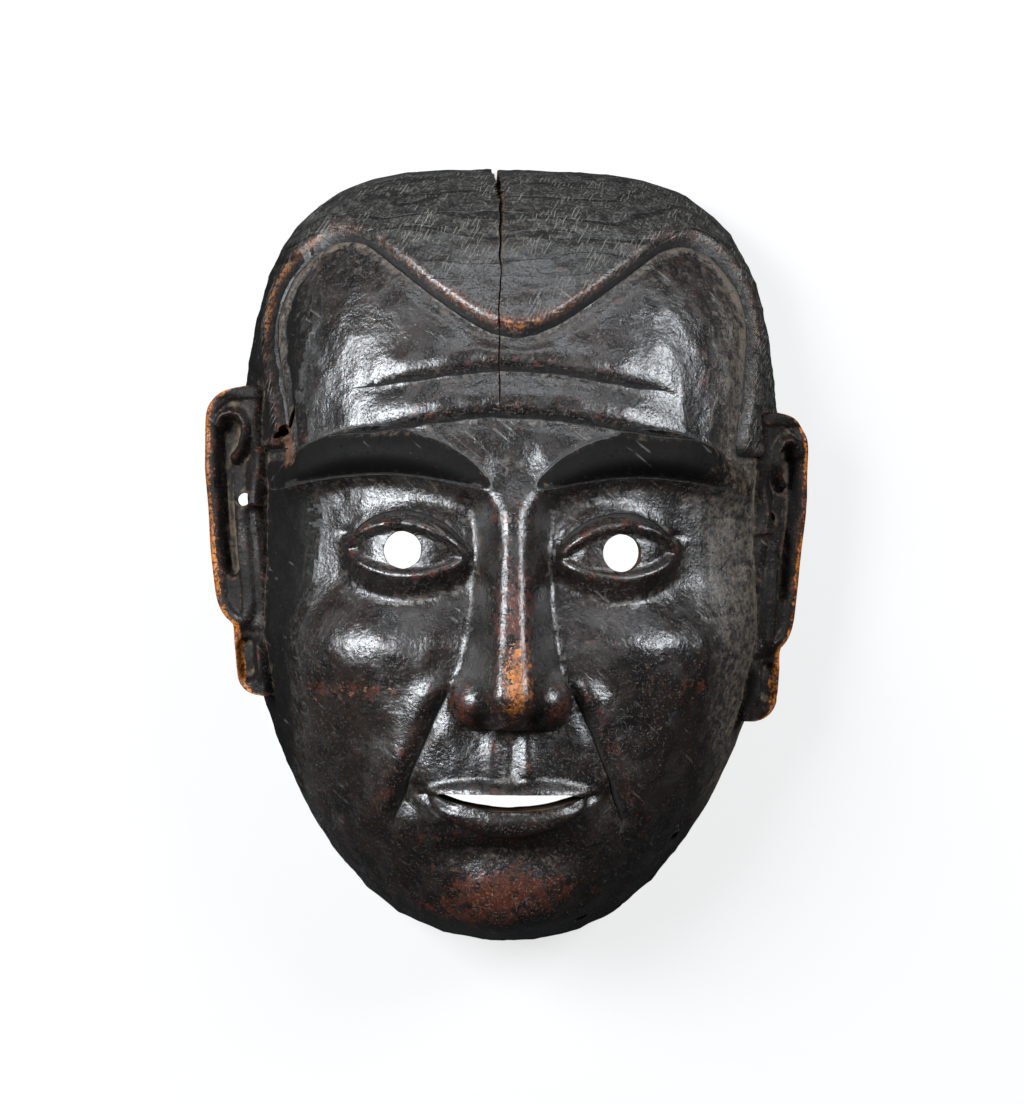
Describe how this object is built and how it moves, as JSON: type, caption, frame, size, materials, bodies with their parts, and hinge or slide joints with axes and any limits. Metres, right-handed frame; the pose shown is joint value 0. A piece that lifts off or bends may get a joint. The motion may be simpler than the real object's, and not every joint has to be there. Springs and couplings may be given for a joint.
{
  "type": "carved wooden dance mask",
  "caption": "Carved wooden dance mask of a calm human face, with a raised peaked hairline, long ears, pierced pupils and mouth, and a hollow back that lies on its flat rim.",
  "frame": {"origin": "on the floor, under the middle of the mask's box, in the plane of the rim that it lies on", "axes": "+X is the viewer's right, +Y runs from chin to crown, +Z points out of the face, away from the floor"},
  "size_m": [0.2176, 0.2826, 0.116],
  "materials": {
    "lacquered_wood": "old near-black brown lacquer, glossy where handled and matte on the hair, rubbed through to red-brown and bare wood on edges, with grey-tan dust in the grooves"
  },
  "bodies": {
    "root": {"mask": "lacquered_wood"}
  },
  "joints": []
}
